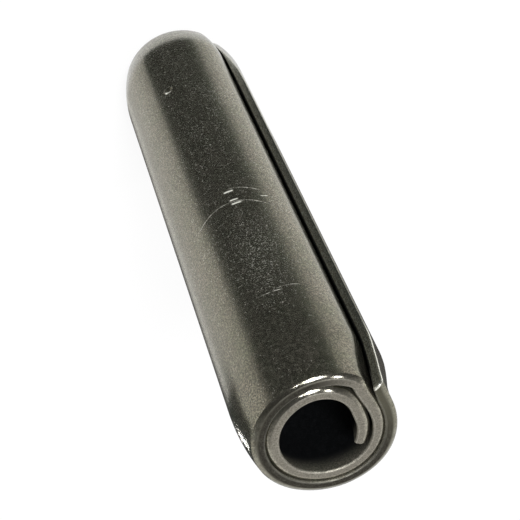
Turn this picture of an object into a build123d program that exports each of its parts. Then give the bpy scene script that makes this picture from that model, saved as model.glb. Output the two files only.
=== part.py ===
from build123d import *
import os
from math import asin, cos, degrees, radians, sin

# Coiled spring pin, 10 x 50 mm, standard duty: one steel strip rolled on itself for a little over two
# turns, with both ends swaged so that the pin starts into its hole.
#
# The pin stands on its lower end. Z is its axis, the origin is on the axis in the plane of the lower
# end, and every size is in millimetres. Angles are in degrees, anticlockwise seen from above.
#
# The strip has one profile all along its length: as tall as the pin, as thick as the strip, and bent
# inwards at its top and bottom edges. The pin is that profile carried along the coil's path, which is
# made of round stretches and straight runs that touch.

# ---- driving dimensions -------------------------------------------------------------------------

PIN_LENGTH = 50.0
FREE_DIAMETER = 10.6        # outside, before the pin is driven in; a 10 mm hole squeezes it
STRIP_THICKNESS = 0.80

SWAGE_LENGTH = 4.8          # from an end face to where the full diameter starts
SWAGE_DEPTH = 0.62          # how far the outside has come in at the end face
LIP_BREAK = 0.20            # chamfer of the strip's edges round each end face of the pin
CORNER_BREAK = 0.12         # chamfer of the long corners at the strip's outer and inner ends

# ---- the coil, seen from above: it runs clockwise from its outer end to its inner end ------------

OUTER_END_ANGLE = 50.0      # the strip's outer end, which makes the seam along the pin
BEVEL_LENGTH = 1.50         # the outer end is bevelled underneath, so that it beds on the turn
BEVEL_DEPTH = 0.29          # below: how far the bevel runs back along the strip, and how deep it is

OUTER_TUCK = (70.0, 29.0)   # where the outer turn leaves its circle and bends in under its own end,
                            # and the way the straight run after that bend faces
INNER_TUCK = (124.0, 24.0)  # the same for the second turn
INNER_END_ANGLE = -14.0     # the strip's inner end, in the bore, seen from the last part turn's centre

TURN_GAP = 0.05             # least gap between the outer turn and the second one
TURN_DRIFT = 0.12           # the second turn's circle sits off the axis by this much,
TURN_DRIFT_ANGLE = -25.0    # towards this side, so its gap opens on the far side
TAIL_RADIUS = 4.00          # the last part turn is opened out on a circle of its own,
TAIL_DRIFT = 0.55           # which sits off the axis by this much,
TAIL_DRIFT_ANGLE = 200.0    # towards this side

# ---- worked out ---------------------------------------------------------------------------------

FREE_RADIUS = FREE_DIAMETER / 2
FULL_TURN = 360.0
SWAGE_RADIUS = (SWAGE_LENGTH**2 + SWAGE_DEPTH**2) / (2 * SWAGE_DEPTH)   # it comes in along a round arc


def polar(radius, angle):
    """Vector of a length at an angle in the plane of the coil."""
    return Vector(radius * cos(radians(angle)), radius * sin(radians(angle)))


def profile_side(depth):
    """One long side of the strip's profile, upwards. Depth 0 faces outwards, and the other the bore."""
    radius = SWAGE_RADIUS - depth
    bend = degrees(asin(SWAGE_LENGTH / radius))
    lower = CenterArc((-SWAGE_RADIUS, SWAGE_LENGTH), radius, -bend, bend)
    upper = CenterArc((-SWAGE_RADIUS, PIN_LENGTH - SWAGE_LENGTH), radius, 0, bend)
    return [lower, Line(lower @ 1, upper @ 0), upper]


def strip_profile():
    """The strip's profile, with X outwards from its outer side and Y up the pin."""
    outward = profile_side(0)
    inward = profile_side(STRIP_THICKNESS)
    lower_edge = Line(inward[0] @ 0, outward[0] @ 0)
    upper_edge = Line(outward[-1] @ 1, inward[-1] @ 1)
    profile = make_face(outward + inward + [lower_edge, upper_edge])
    levels = profile.vertices().group_by(Axis.Y)
    return chamfer(levels[0] + levels[-1], LIP_BREAK)


def profile_at(point, facing):
    """The strip's profile with its outer side at a point of the coil, facing an angle."""
    outwards = polar(1, facing)
    return Plane(point, x_dir=outwards, z_dir=outwards.cross(Vector(0, 0, 1))) * strip_profile()


def round_stretch(centre, radius, start, sweep):
    """A stretch of the coil round a centre, clockwise, on an outside radius."""
    profile = profile_at(centre + polar(radius, start), start)
    return revolve(profile, Axis(centre, (0, 0, -1)), sweep)


def straight_run(start, end, facing):
    """A stretch of the coil from one point to another, facing one angle."""
    return extrude(profile_at(start, facing), (end - start).length, dir=end - start)


def tuck(centre, radius, next_centre, next_radius, leaves_at, faces):
    """Where a turn goes in under the one outside it: a bend, and a straight run onto the next circle.

    The bend touches the first circle inside, where the turn leaves it. The straight run touches the
    bend and the next circle. These conditions give the bend's radius.
    """
    reach = next_radius + (next_centre - centre).dot(polar(1, faces))
    cosine = cos(radians(leaves_at - faces))
    bend_radius = (reach - radius * cosine) / (1 - cosine)
    bend_centre = centre + polar(radius - bend_radius, leaves_at)
    run_start = bend_centre + polar(bend_radius, faces)
    run_end = next_centre + polar(next_radius, faces)
    return [
        round_stretch(bend_centre, bend_radius, leaves_at, leaves_at - faces),
        straight_run(run_start, run_end, faces),
    ]


def strip_end(stretch, centre, radius, angle):
    """The face of a stretch that is an end of the strip, at an angle round the stretch's centre."""
    middle_height = Vector(0, 0, PIN_LENGTH / 2)
    middle = centre + polar(radius - STRIP_THICKNESS / 2, angle) + middle_height
    return stretch.faces().filter_by(GeomType.PLANE).sort_by_distance(middle)[0]


def corners(end, centre, radius):
    """The edges that run up the pin at an end of the strip: the outer side's, and the bore side's."""
    outer_side, bore_side = [], []
    for edge in end.edges():
        if edge.length > STRIP_THICKNESS:
            out = (edge @ 0.5) - centre
            nearer_outside = Vector(out.X, out.Y).length > radius - STRIP_THICKNESS / 2
            (outer_side if nearer_outside else bore_side).append(edge)
    return outer_side, bore_side


def outer_turn():
    """The outer turn, from the strip's outer end, which has a broken corner and the bevel under it."""
    where = (Vector(0, 0), FREE_RADIUS)
    turn = round_stretch(*where, OUTER_END_ANGLE, FULL_TURN + OUTER_END_ANGLE - OUTER_TUCK[0])
    outer_side, _ = corners(strip_end(turn, *where, OUTER_END_ANGLE), *where)
    turn = chamfer(outer_side, CORNER_BREAK)
    end = strip_end(turn, *where, OUTER_END_ANGLE)
    _, bore_side = corners(end, *where)
    return chamfer(bore_side, BEVEL_DEPTH, BEVEL_LENGTH, reference=end)


def tail(centre):
    """The last part turn, to the strip's inner end, which has both corners broken."""
    where = (centre, TAIL_RADIUS)
    last = round_stretch(*where, INNER_TUCK[1], INNER_TUCK[1] - INNER_END_ANGLE)
    outer_side, bore_side = corners(strip_end(last, *where, INNER_END_ANGLE), *where)
    return chamfer(outer_side + bore_side, CORNER_BREAK)


def coiled_spring_pin():
    """The whole pin: every stretch of the coil, from the strip's outer end to its inner end."""
    axis = Vector(0, 0)
    second_radius = FREE_RADIUS - STRIP_THICKNESS - TURN_GAP - TURN_DRIFT
    second_centre = polar(TURN_DRIFT, TURN_DRIFT_ANGLE)
    second_sweep = FULL_TURN + OUTER_TUCK[1] - INNER_TUCK[0]
    tail_centre = polar(TAIL_DRIFT, TAIL_DRIFT_ANGLE)
    return Part() + [
        outer_turn(),
        *tuck(axis, FREE_RADIUS, second_centre, second_radius, *OUTER_TUCK),
        round_stretch(second_centre, second_radius, OUTER_TUCK[1], second_sweep),
        *tuck(second_centre, second_radius, tail_centre, TAIL_RADIUS, *INNER_TUCK),
        tail(tail_centre),
    ]


os.makedirs("parts", exist_ok=True)
pin = coiled_spring_pin()
export_step(pin, "parts/coiled_spring_pin.step")
print(f"coiled_spring_pin: {pin.volume:.0f} mm3, {len(pin.faces())} faces, valid {pin.is_valid}")
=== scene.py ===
import logging
import math
from dataclasses import dataclass, field
from enum import Enum
from typing import Any, Optional, Sequence

import bpy
import numpy as np
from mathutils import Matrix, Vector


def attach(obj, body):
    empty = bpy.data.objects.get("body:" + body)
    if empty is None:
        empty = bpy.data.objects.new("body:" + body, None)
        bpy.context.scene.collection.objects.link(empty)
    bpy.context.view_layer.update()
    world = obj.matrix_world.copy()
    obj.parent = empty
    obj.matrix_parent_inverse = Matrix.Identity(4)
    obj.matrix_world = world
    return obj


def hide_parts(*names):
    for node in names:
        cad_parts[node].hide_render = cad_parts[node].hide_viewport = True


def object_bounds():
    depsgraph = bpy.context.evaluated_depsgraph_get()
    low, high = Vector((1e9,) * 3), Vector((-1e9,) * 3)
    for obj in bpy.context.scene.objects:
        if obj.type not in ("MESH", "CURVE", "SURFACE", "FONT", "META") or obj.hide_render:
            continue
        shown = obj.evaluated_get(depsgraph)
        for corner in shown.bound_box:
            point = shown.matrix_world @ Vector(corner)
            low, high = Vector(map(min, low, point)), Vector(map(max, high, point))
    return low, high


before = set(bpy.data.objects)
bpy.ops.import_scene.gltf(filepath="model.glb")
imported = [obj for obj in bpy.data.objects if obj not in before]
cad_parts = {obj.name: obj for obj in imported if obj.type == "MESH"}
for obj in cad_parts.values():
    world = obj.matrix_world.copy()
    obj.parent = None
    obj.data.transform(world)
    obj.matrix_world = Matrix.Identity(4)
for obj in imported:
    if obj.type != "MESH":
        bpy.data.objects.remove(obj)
CAD_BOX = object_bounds()

# A coiled spring pin on a white floor: one strip of spring steel rolled into a little over two turns and
# closed in at both ends. It stands on its lower end, with the origin on its axis. Lengths are in
# millimetres until a mesh is made. Angles are in degrees, anticlockwise from +X as seen from above.

LOG = logging.getLogger("coiled_spring_pin")
MM = 0.001
FULL_TURN = 360.0
DECIMALS = 6                # two places that agree to so many decimals are one place
PIN_LENGTH = round((CAD_BOX[1].z - CAD_BOX[0].z) / MM, 3)

Array = np.ndarray
Colour = tuple[float, float, float]
Face = tuple[int, ...]


# ---- shapes: helpers -----------------------------------------------------------------------------

def polar(radius: float | Array, degrees: float | Array) -> Array:
    """Points at a radius and an angle: (r cos a, r sin a)."""
    angle = np.radians(degrees)
    return np.stack([radius * np.cos(angle), radius * np.sin(angle)], axis=-1)


def with_height(plan: Array, up: float | Array) -> Array:
    """Points in space, from a grid of points in plan and their heights."""
    return np.concatenate([plan, np.broadcast_to(up, plan.shape[:-1])[..., None]], axis=-1)


def ease(value: float | Array) -> Array:
    """A smooth step from 0 to 1: 3 x^2 - 2 x^3, held at its ends."""
    x = np.clip(value, 0.0, 1.0)
    return x * x * (3.0 - 2.0 * x)


def turned_from(angle: Array, middle: float) -> Array:
    """How far angles are from a middle one, the shorter way round, in degrees."""
    half_turn = FULL_TURN / 2.0
    return np.abs(np.mod(angle - middle + half_turn, FULL_TURN) - half_turn)


def rounding(distance: Array, radius: float) -> Array:
    """How far a rounded corner has drawn in at a distance from its end: r - sqrt(r^2 - (r - x)^2)."""
    short = np.clip(radius - distance, 0.0, radius)
    return radius - np.sqrt(radius**2 - short**2)


def new_object(name: str, points: Array, faces: list[Face]) -> bpy.types.Object:
    """A mesh object at the origin, smooth shaded.

    Args:
        name: name of the object and of its mesh.
        points: a grid of vertices in millimetres, numbered row by row.
        faces: vertex numbers of each face, anticlockwise from outside.

    Returns:
        The new object, linked to the scene.
    """
    mesh = bpy.data.meshes.new(name)
    mesh.from_pydata((points.reshape(-1, 3) * MM).tolist(), [], faces)
    mesh.polygons.foreach_set("use_smooth", np.ones(len(mesh.polygons), dtype=bool))
    mesh.update()
    made = bpy.data.objects.new(name, mesh)
    bpy.context.collection.objects.link(made)
    return made


def add_values(piece: bpy.types.Object, name: str, values: Array) -> None:
    """Gives each vertex of a piece a value, as an attribute.

    Args:
        piece: the piece.
        name: the attribute's name.
        values: a grid of numbers, or a grid of vectors.
    """
    kind, key = ("FLOAT_VECTOR", "vector") if values.ndim == 3 else ("FLOAT", "value")
    attribute = piece.data.attributes.new(name, kind, "POINT")
    attribute.data.foreach_set(key, np.ascontiguousarray(values, dtype=np.float32).ravel())


def grid_faces(rows: int, columns: int, closed: bool, flipped: bool = False) -> list[Face]:
    """Quads of a grid whose vertices are numbered row by row.

    Args:
        rows: number of rows.
        columns: number of vertices in a row.
        closed: whether a row is a loop.
        flipped: whether the quads face the other way.

    Returns:
        The quads, with their normals along (column direction) x (row direction) unless flipped.
    """
    row = np.arange(rows - 1)[:, None] * columns
    column = np.arange(columns if closed else columns - 1)[None, :]
    after = (column + 1) % columns
    quads = np.stack([row + column, row + after, row + columns + after, row + columns + column], axis=-1)
    quads = quads[..., ::-1] if flipped else quads
    return [tuple(quad) for quad in quads.reshape(-1, 4).tolist()]


# ---- the coil in plan ----------------------------------------------------------------------------

@dataclass(frozen=True)
class Stretch:
    """A stretch of the strip in plan, going clockwise: round, or straight where the radius is 0."""

    start: Array
    facing: float
    length: float
    radius: float = 0.0

    def at(self, along: Array) -> tuple[Array, Array]:
        """Points on the strip's outer side.

        A round stretch is centre + r (cos a, sin a) with a falling by x / r; a straight one is
        start + x times the direction of travel.

        Args:
            along: distances x from the stretch's start.

        Returns:
            The points, and the angles that the outer side faces there.
        """
        if self.radius == 0.0:
            travel = polar(1.0, self.facing - 90.0)
            return self.start + along[:, None] * travel, np.full(len(along), self.facing)
        centre = self.start - polar(self.radius, self.facing)
        facing = self.facing - np.degrees(along / self.radius)
        return centre + polar(self.radius, facing), facing


@dataclass(frozen=True)
class Tuck:
    """Where a turn leaves its circle to go in under itself, and the way its straight run faces."""

    leaves_at: float
    faces: float


@dataclass
class Coil:
    """The coil's path, clockwise from the strip's outer end to its inner end.

    Each turn lies on a circle. The second one's and the last part turn's are drifted off the axis.
    """

    free_radius: float = 5.295
    thickness: float = 0.80
    outer_end: float = 50.0
    outer_tuck: Tuck = Tuck(70.0, 29.0)
    inner_tuck: Tuck = Tuck(124.0, 24.0)
    inner_end: float = -18.0
    turn_gap: float = 0.03
    turn_drift: float = 0.035
    turn_drift_angle: float = -25.0
    tail_radius: float = 4.00
    tail_drift: float = 0.55
    tail_drift_angle: float = 200.0

    def __post_init__(self) -> None:
        """Works out the stretches, each of which starts where the one before it ends."""
        axis = np.zeros(2)
        second_radius = self.free_radius - self.thickness - self.turn_gap - self.turn_drift
        second = polar(self.turn_drift, self.turn_drift_angle)
        tail = polar(self.tail_drift, self.tail_drift_angle)
        outer_sweep = FULL_TURN + self.outer_end - self.outer_tuck.leaves_at
        second_sweep = FULL_TURN + self.outer_tuck.faces - self.inner_tuck.leaves_at
        tail_sweep = self.inner_tuck.faces - self.inner_end
        self.stretches: list[Stretch] = [
            self.round(axis, self.free_radius, self.outer_end, outer_sweep),
            *self.tucked(axis, self.free_radius, second, second_radius, self.outer_tuck),
            self.round(second, second_radius, self.outer_tuck.faces, second_sweep),
            *self.tucked(second, second_radius, tail, self.tail_radius, self.inner_tuck),
            self.round(tail, self.tail_radius, self.inner_tuck.faces, tail_sweep),
        ]
        self.starts: Array = np.cumsum([0.0] + [stretch.length for stretch in self.stretches])

    @property
    def length(self) -> float:
        """Length of the strip along its outer side."""
        return float(self.starts[-1])

    def round(self, centre: Array, radius: float, start: float, sweep: float) -> Stretch:
        """A round stretch about a centre, from an angle, clockwise through a sweep."""
        return Stretch(centre + polar(radius, start), start, radius * math.radians(sweep), radius)

    def tucked(self, centre: Array, radius: float, inner: Array, inner_radius: float, tuck: Tuck
               ) -> list[Stretch]:
        """The bend and the straight run by which a turn goes in under itself.

        The bend's radius b solves reach = r cos w + b (1 - cos w), where w is the angle that it turns
        through and reach is how far the straight run stands off the first centre.

        Args:
            centre: centre of the turn that is left.
            radius: its radius.
            inner: centre of the turn that is reached.
            inner_radius: its radius.
            tuck: where the bend starts and what the run faces.

        Returns:
            The bend and the run.
        """
        facing = polar(1.0, tuck.faces)
        reach = inner_radius + float((inner - centre) @ facing)
        turned = tuck.leaves_at - tuck.faces
        cosine = math.cos(math.radians(turned))
        bend_radius = (reach - radius * cosine) / (1.0 - cosine)
        bend_centre = centre + polar(radius - bend_radius, tuck.leaves_at)
        start = bend_centre + bend_radius * facing
        run = inner + inner_radius * facing - start
        return [self.round(bend_centre, bend_radius, tuck.leaves_at, turned),
                Stretch(start, tuck.faces, float(np.hypot(*run)))]

    def at(self, along: Array) -> tuple[Array, Array, Array]:
        """Points on the strip's outer side.

        Args:
            along: distances from the strip's outer end, in order.

        Returns:
            The points, the unit vectors outwards, and the angle round the axis, which keeps falling.
        """
        last = len(self.stretches) - 1
        which = np.clip(np.searchsorted(self.starts, along, side="right") - 1, 0, last)
        points, facing = np.zeros((len(along), 2)), np.zeros(len(along))
        for number, stretch in enumerate(self.stretches):
            here = which == number
            points[here], facing[here] = stretch.at(along[here] - self.starts[number])
        angle = np.degrees(np.unwrap(np.arctan2(points[:, 1], points[:, 0])))
        return points, polar(1.0, facing), angle

    def place(self, angle: float) -> float:
        """Distance along the strip to an angle on the outer turn, given from 70 to 410 degrees."""
        return self.free_radius * math.radians(FULL_TURN + self.outer_end - angle)


# ---- the strip's profile -------------------------------------------------------------------------

class Side(Enum):
    """The strip's two broad sides."""

    OUTER = "outer"
    BORE = "bore"


def looped(outer: Array, bore: Array) -> Array:
    """Values round the profile's loop: up its outer half, and down its bore half, which shares the ends."""
    return np.concatenate([outer, bore[..., -2:0:-1]], axis=-1)


@dataclass(frozen=True)
class HalfLoop:
    """Half of the profile's loop, from the middle of the lower face to that of the upper one.

    Each point lies at lip x drawn_in + (middle - lip) x across from its side, and at
    rise x lip x raised + (nearest - first) from its nearer end face. The lip and cut values are 1 where
    the surface is all lip, or all cut face.
    """

    across: Array
    drawn_in: Array
    raised: Array
    nearest: Array
    upper: Array
    lip: Array
    cut: Array


@dataclass
class Profile:
    """The strip's profile: as tall as the pin, bent in at both ends along a round arc."""

    height: float = PIN_LENGTH
    swage_length: float = 4.8
    swage_depth: float = 0.62
    lips: dict[Side, float] = field(default_factory=lambda: {Side.OUTER: 0.32, Side.BORE: 0.13})
    lip_rise: float = 0.75
    lip_power: float = 1.5
    lip_steps: int = 11
    swage_steps: int = 13
    straight_steps: int = 16
    across_steps: int = 4

    @property
    def swage_radius(self) -> float:
        """Radius of the arc along which an end comes in: (l^2 + d^2) / 2d."""
        return (self.swage_length**2 + self.swage_depth**2) / (2.0 * self.swage_depth)

    @property
    def first(self) -> float:
        """Level at which the sides start."""
        return self.lips[Side.OUTER] * self.lip_rise

    def past(self, level: Array) -> Array:
        """How far a level is past the start of the swage that it is in: 0 in the straight length."""
        below, above = self.swage_length - level, level - self.height + self.swage_length
        return np.maximum(np.maximum(below, above), 0.0)

    def inset(self, depth: Array, level: Array) -> Array:
        """How far a point of the strip lies in from the free outside.

        The layers are parallel: R - sqrt((R - depth)^2 - t^2), with t the distance past the swage's start.

        Args:
            depth: depth in the strip, from its outer side.
            level: height above the lower end.

        Returns:
            The distance inwards.
        """
        return self.swage_radius - np.sqrt((self.swage_radius - depth) ** 2 - self.past(level) ** 2)

    def half(self, fine_levels: Array) -> HalfLoop:
        """The half loop's points: a face, a lip, a side, a lip and a face.

        A lip is worn to a slope with soft edges: (1 - sin^p t, 1 - cos^p t), with p over 1.

        Args:
            fine_levels: levels at which the side has points besides its own.

        Returns:
            The half loop.
        """
        turn = np.linspace(0.0, 0.5 * math.pi, self.lip_steps)
        face = np.linspace(1.0, 0.0, self.across_steps + 1)[:-1]
        swage = np.linspace(self.first, self.swage_length, self.swage_steps + 1)
        straight = np.linspace(self.swage_length, self.height - self.swage_length, self.straight_steps + 1)
        side = np.r_[swage, straight, fine_levels, self.height - swage]
        side = np.unique(np.round(side, DECIMALS))[1:-1]
        on_face, on_side = np.zeros(len(face)), np.zeros(len(side))
        ends = len(face) + len(turn)

        def whole(end: Array, middle: Array = on_side) -> Array:
            """Values up the half loop: the lower end's, the side's, and the upper end's, which mirror."""
            return np.r_[end, middle, end[::-1]]

        return HalfLoop(
            across=whole(np.r_[face, np.zeros(len(turn))]),
            drawn_in=whole(np.r_[on_face + 1.0, 1.0 - np.sin(turn) ** self.lip_power]),
            raised=whole(np.r_[on_face, 1.0 - np.abs(np.cos(turn)) ** self.lip_power], on_side + 1.0),
            nearest=whole(np.full(ends, self.first), np.minimum(side, self.height - side)),
            upper=np.r_[np.zeros(ends, bool), side > 0.5 * self.height, np.ones(ends, bool)],
            lip=whole(np.r_[on_face, np.sin(2.0 * turn)]),
            cut=whole(np.r_[on_face + 1.0, np.cos(turn) ** 2]),
        )


# ---- the strip -----------------------------------------------------------------------------------

@dataclass(frozen=True)
class Dent:
    """A small dent in the outer turn, with a low burr round it.

    The burr's and the fine mesh's places are in radii of the dent, and the burr's height is a share of
    its depth.
    """

    angle: float = 124.3
    level: float = 10.86
    radius: float = 0.34
    depth: float = 0.20
    burr_at: float = 1.15
    burr_width: float = 0.22
    burr_height: float = 0.22
    fine_to: float = 2.0
    coarse_from: float = 2.2
    fine_steps: int = 25

    def fine(self) -> Array:
        """Distances from the dent's middle at which the mesh has points."""
        return np.linspace(-self.fine_to, self.fine_to, self.fine_steps) * self.radius

    def sink(self, across: Array, up: Array) -> Array:
        """Depth of the dent: a bowl d (1 - q^2)^2 with a bell-shaped burr, q being distance / radius.

        Args:
            across: distance from the dent's middle along the strip.
            up: distance from it up the pin.

        Returns:
            The depth, negative on the burr.
        """
        q = np.hypot(across, up) / self.radius
        bowl = (1.0 - np.minimum(q, 1.0) ** 2) ** 2
        burr = np.exp(-((q - self.burr_at) / self.burr_width) ** 2)
        return self.depth * (bowl - self.burr_height * burr)


@dataclass(frozen=True)
class Press:
    """Where the upper swage has pressed the strip in further than elsewhere, or less far.

    The dip is depth x hill over the angle x rise over the distance past the swage's start, and it falls
    again to the part kept at the end face. A negative depth leaves the strip standing out. Angles fall
    along the strip from its outer end.
    """

    depth: float
    angles: tuple[float, float, float]
    deepest: float
    kept: float
    eases_from: float = 3.4
    eases_over: float = 1.4

    def dip(self, angle: Array, past: Array) -> Array:
        """How far in the strip is pressed.

        Args:
            angle: angles round the axis, one per row.
            past: distances past the upper swage's start, one row for each angle.

        Returns:
            The distance inwards.
        """
        first, middle, last = self.angles
        round_hill = ease((angle - first) / (middle - first)) * ease((last - angle) / (last - middle))
        up_hill = ease(past / self.deepest)
        left = 1.0 - (1.0 - self.kept) * ease((past - self.eases_from) / self.eases_over)
        return self.depth * round_hill[:, None] * up_hill * left


@dataclass(frozen=True)
class SeamShape:
    """How the strip differs from a plain round coil.

    Its outer end is flat and has sprung out, the upper swage has pressed it in beside the seam and left
    it standing out at one side of the rim, and the outer end is pinched thin at its foot.
    """

    flat_from: float = 28.5
    presses: tuple[Press, ...] = (
        Press(0.33, (-35.0, 20.0, 64.0), 2.2, 0.10),
        Press(0.25, (-330.0, -306.0, -270.0), 2.8, 0.5),
        Press(-0.16, (-105.0, -35.0, 25.0), 3.4, 1.0),
        Press(-0.14, (-465.0, -395.0, -335.0), 3.4, 1.0),
    )
    pinch: float = 0.90
    pinch_top: float = 8.7
    pinch_over: float = 7.2
    pinch_reach: float = 1.6

    def sprung(self, angle: Array, radius: float) -> Array:
        """How far the strip's flat end stands out of the circle that it leaves: r (1 / cos w - 1).

        Args:
            angle: angles round the axis, falling along the strip from its outer end.
            radius: the circle's radius.

        Returns:
            The distance outwards, with w the angle past the point where the flat starts.
        """
        past = np.radians(np.maximum(angle - self.flat_from, 0.0))
        return radius * (1.0 / np.cos(past) - 1.0)

    def pressed(self, angle: Array, past: Array) -> Array:
        """All the presses' dips together."""
        return sum(press.dip(angle, past) for press in self.presses)

    def pinched(self, along: Array, level: Array) -> Array:
        """How much of the strip's thickness is pinched off its outer side at the seam's lower end.

        Args:
            along: distances from the strip's outer end, one per row.
            level: heights, one row for each distance.

        Returns:
            The share: most at the lower end, and falling as the square of what is left of its reach.
        """
        near_end = np.clip(1.0 - along / self.pinch_reach, 0.0, 1.0) ** 2
        return self.pinch * near_end[:, None] * ease((self.pinch_top - level) / self.pinch_over)


@dataclass
class RolledStrip:
    """The strip, rolled up, whose flat outer end has sprung out a little.

    The outer end is bevelled underneath, and the corners of both ends are rounded.
    """

    name: str = "rolled_strip"
    coil: Coil = field(default_factory=Coil)
    profile: Profile = field(default_factory=Profile)
    dent: Dent = Dent()
    seam: SeamShape = SeamShape()
    bevel_length: float = 1.50
    bevel_depth: float = 0.04
    outer_corner: float = 0.16
    bevel_corner: float = 0.06
    inner_corner: float = 0.24
    past_corner: float = 1.15       # where the even rows start again, in radii of the corner
    end_length: float = 1.0
    spacing: float = 0.27
    corner_steps: int = 7
    bevel_steps: int = 14
    end_steps: int = 5
    lip_share: float = 0.42         # the most of the strip's thickness that one lip takes
    end_face: float = 0.999         # corner value from which a row belongs to the cut end itself

    def stations(self) -> Array:
        """Where along the strip it has a row of vertices: close at its ends and round the dent.

        Returns:
            The distances from the strip's outer end, in order.
        """
        turn = 1.0 - np.cos(np.linspace(0.0, 0.5 * math.pi, self.corner_steps))
        whole = self.coil.length
        first, last = self.bevel_length, whole - self.end_length
        dent = self.coil.place(self.dent.angle)
        coarse = np.linspace(first, last, math.ceil((last - first) / self.spacing))
        joined = np.r_[
            turn * self.outer_corner,
            np.linspace(self.past_corner * self.outer_corner, first, self.bevel_steps),
            coarse[np.abs(coarse - dent) > self.dent.coarse_from * self.dent.radius],
            dent + self.dent.fine(),
            np.linspace(last, whole - self.past_corner * self.inner_corner, self.end_steps),
            whole - turn * self.inner_corner,
        ]
        return np.unique(np.round(joined, DECIMALS))

    def thickness(self, along: Array) -> Array:
        """Thickness of the strip: full, less the bevel's straight slope at the outer end."""
        return self.coil.thickness - self.bevel_depth * np.clip(1.0 - along / self.bevel_length, 0.0, 1.0)

    def lift(self, angle: Array, level: Array) -> Array:
        """How far the coil stands out of its round path: sprung at its end, less the swage's dips.

        Args:
            angle: angle round the axis, one per row, falling along the strip.
            level: heights of the points.

        Returns:
            The distance outwards.
        """
        sprung = self.seam.sprung(angle, self.coil.free_radius)
        past = np.maximum(level - self.profile.height + self.profile.swage_length, 0.0)
        return sprung[:, None] - self.seam.pressed(angle, past)

    def section(self, along: Array, half: HalfLoop) -> tuple[Array, Array]:
        """The profile's loop at places along the strip, drawn in by the corners of its two ends.

        Args:
            along: distances from the strip's outer end.
            half: half of the loop.

        Returns:
            The depths from the strip's outer side, and the heights, one row for each distance.
        """
        thick = self.thickness(along)
        ends_in = rounding(self.coil.length - along, self.inner_corner)
        drawn = {Side.OUTER: np.maximum(rounding(along, self.outer_corner), ends_in),
                 Side.BORE: np.maximum(rounding(along, self.bevel_corner), ends_in)}
        left = thick - drawn[Side.OUTER] - drawn[Side.BORE]
        lips = {side: np.minimum(self.profile.lips[side], self.lip_share * left) for side in Side}
        spare = 0.5 * (left - lips[Side.OUTER] - lips[Side.BORE])
        middle = 0.5 * self.profile.height
        foot = drawn[Side.OUTER][:, None]
        depth, level = {}, {}
        for side in Side:
            lip = lips[side][:, None]
            in_from_side = drawn[side][:, None] + lip * half.drawn_in + spare[:, None] * half.across
            depth[side] = in_from_side if side is Side.OUTER else thick[:, None] - in_from_side
            rise = lip * self.profile.lip_rise
            stretch = (middle - foot - rise) / (middle - self.profile.first)
            nearer = foot + rise * half.raised + (half.nearest - self.profile.first) * stretch
            level[side] = np.where(half.upper, self.profile.height - nearer, nearer)
        return looped(depth[Side.OUTER], depth[Side.BORE]), looped(level[Side.OUTER], level[Side.BORE])

    def points(self) -> tuple[Array, dict[str, Array]]:
        """Vertices of the strip.

        A point is P(x) + n(x) (lift - inset(D, z)), with P and n the path and its outward normal, and
        (D, z) the depth and height of the profile's point. The pinch and the dent are taken off it.

        Returns:
            The vertices as rows x loop x 3, and values for each: strip place, lip and cut.
        """
        along = self.stations()
        path, outwards, angle = self.coil.at(along)
        half = self.profile.half(self.dent.level + self.dent.fine())
        depths, levels = self.section(along, half)
        out = self.lift(angle, levels) - self.profile.inset(depths, levels)
        out = out - self.seam.pinched(along, levels) * (self.thickness(along)[:, None] - depths)
        across = along[:, None] - self.coil.place(self.dent.angle)
        on_side = looped(half.drawn_in == 0.0, np.zeros(len(half.lip), bool))
        out = out - np.where(on_side, self.dent.sink(across, levels - self.dent.level), 0.0)
        vertices = with_height(path[:, None, :] + out[..., None] * outwards[:, None, :], levels)
        to_end = self.coil.length - along
        corner = np.maximum(np.clip(1.0 - along / self.outer_corner, 0.0, 1.0),
                            np.clip(1.0 - to_end / self.inner_corner, 0.0, 1.0))[:, None]
        return vertices, {
            "strip_place": np.stack(np.broadcast_arrays(along[:, None], levels, depths), axis=-1),
            "lip": np.maximum(looped(half.lip, half.lip), corner),
            "cut": np.maximum(looped(half.cut, half.cut), (corner > self.end_face) * 1.0),
        }

    def caps(self, rows: int, loop: int) -> list[Face]:
        """Faces that close the strip's two cut ends, each from the outer half loop to its partner.

        Args:
            rows: number of rows.
            loop: number of vertices in a row.

        Returns:
            Quads, and a triangle at each end face of the pin.
        """
        j = np.arange(1, loop // 2 - 1)
        quads = np.stack([j, loop - j, loop - j - 1, j + 1], axis=-1)
        first = [tuple(quad) for quad in quads.tolist()]
        first += [(0, loop - 1, 1), (loop // 2 - 1, loop // 2 + 1, loop // 2)]
        shift = (rows - 1) * loop
        return first + [tuple(shift + number for number in reversed(face)) for face in first]

    def build(self) -> bpy.types.Object:
        """Makes the strip's mesh, with its values as vertex attributes.

        Returns:
            The strip's object.
        """
        vertices, values = self.points()
        rows, loop, _ = vertices.shape
        faces = grid_faces(rows, loop, closed=True) + self.caps(rows, loop)
        made = new_object(self.name, vertices, faces)
        for name, value in values.items():
            add_values(made, name, value)
        LOG.info("%s: %d rows of %d, %d faces", self.name, rows, loop, len(made.data.polygons))
        return made


# ---- shader nodes: helpers -----------------------------------------------------------------------

Value = Any                     # a socket to link, or a value to set
Socket = bpy.types.NodeSocket


@dataclass(frozen=True)
class Fade:
    """A value that goes smoothly from low to high while another goes from start to end."""

    start: float
    end: float
    low: float = 0.0
    high: float = 1.0


@dataclass(frozen=True)
class Pattern:
    """A noise pattern: patches to a millimetre, layers of detail, their strength, and its distortion.

    A pattern with a fade is a mask that the fade makes of the noise.
    """

    per_mm: float
    detail: float
    rough: float = 0.5
    distortion: float = 0.0
    fade: Optional[Fade] = None


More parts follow.
